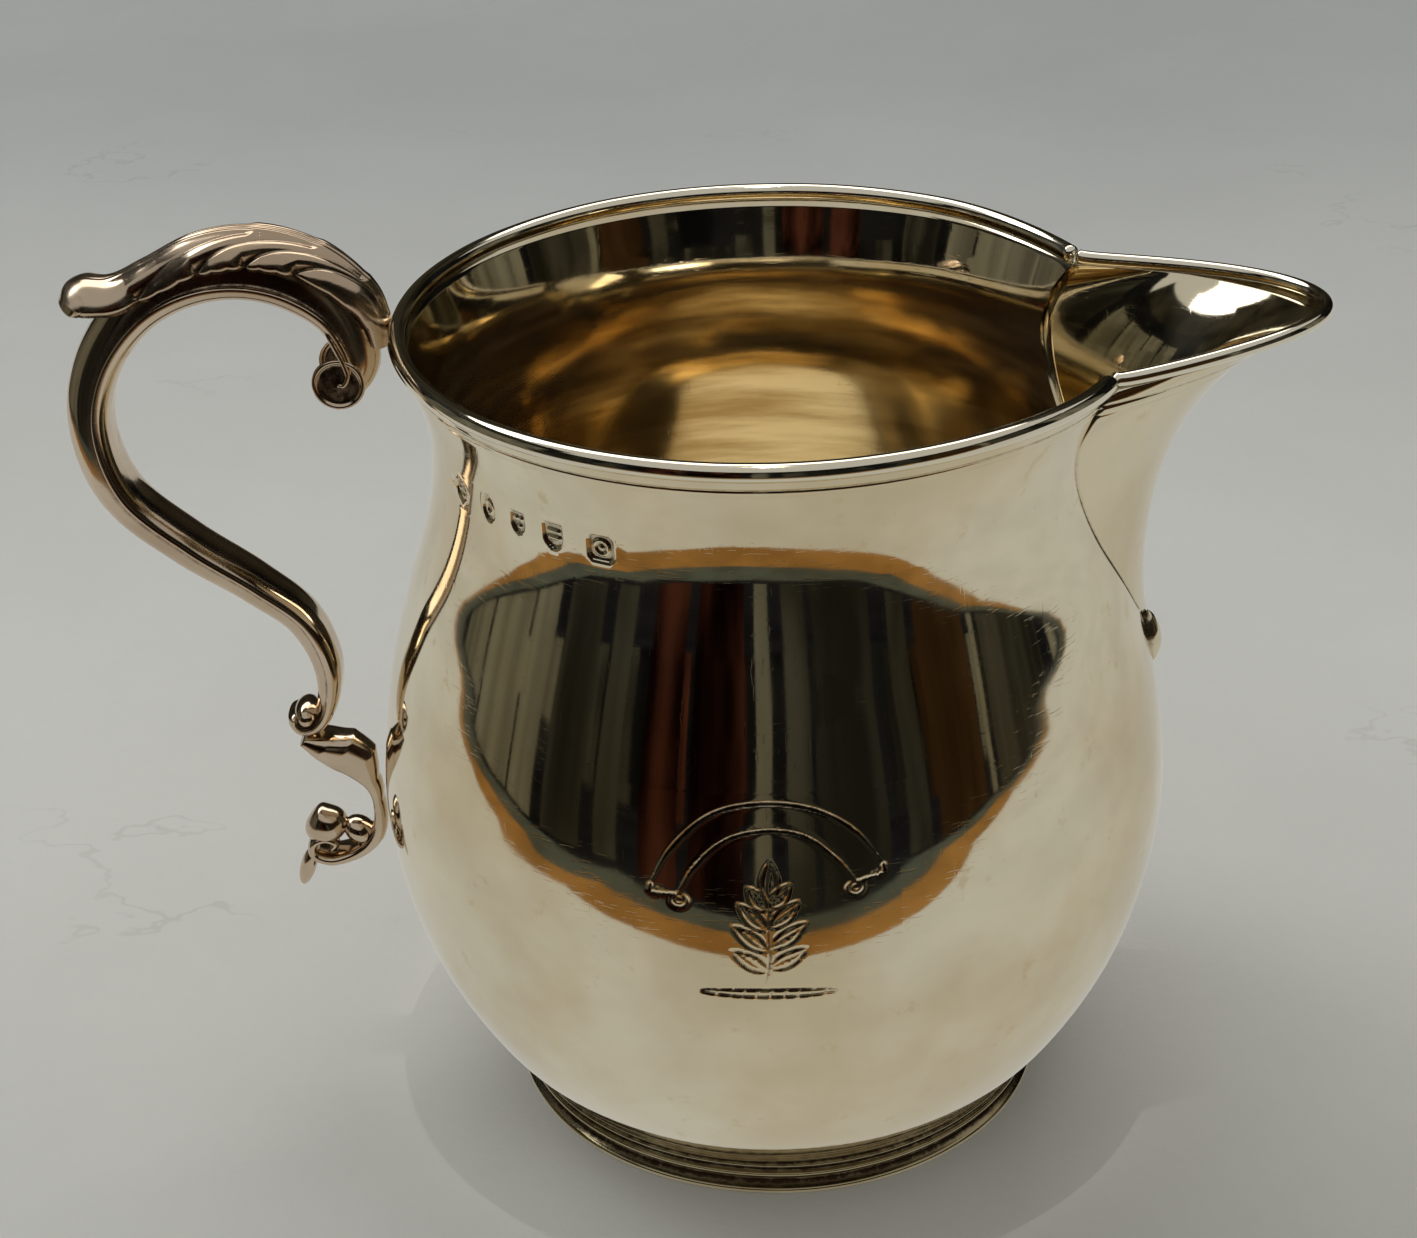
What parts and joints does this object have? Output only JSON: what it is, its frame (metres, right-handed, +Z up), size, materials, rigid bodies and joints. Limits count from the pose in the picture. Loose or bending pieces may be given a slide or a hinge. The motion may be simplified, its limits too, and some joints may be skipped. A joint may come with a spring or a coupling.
{
  "type": "cream jug",
  "caption": "Small baluster cream jug on a moulded foot ring, with a wired rim, a V-shaped spout let into the wall and a leaf-capped scroll handle.",
  "frame": {"origin": "on the table plane, under the middle of the whole jug's length and width", "axes": "+X towards the spout's tip, -X towards the handle, +Z up; -Y is the engraved side"},
  "size_m": [0.1288, 0.0844, 0.0994],
  "materials": {
    "body_shell": "polished silver, softly worn, warm toned; gilt-toned tarnish inside",
    "foot_ring": "polished silver with tarnish in the mouldings",
    "rim_wire": "polished silver wire",
    "spout": "polished silver, softly worn",
    "spout_rim_wire": "polished silver wire",
    "spout_drop": "cast silver, polished, tarnish at its edge",
    "handle_scroll": "cast silver, polished, brown tarnish in the hollows",
    "handle_leaf": "cast and chased silver, satin, dark in the cuts",
    "bracket_scroll": "cast silver, polished, brown tarnish in the hollows",
    "bracket_bud": "cast silver, polished",
    "bracket_tail": "cast silver, polished"
  },
  "bodies": {
    "root": {"body_shell": "body_shell", "foot_ring": "foot_ring", "rim_wire": "rim_wire", "spout": "spout", "spout_rim_wire": "spout_rim_wire", "spout_drop": "spout_drop", "handle_scroll": "handle_scroll", "handle_leaf": "handle_leaf", "bracket_scroll": "bracket_scroll", "bracket_bud": "bracket_bud", "bracket_tail": "bracket_tail"}
  },
  "joints": []
}
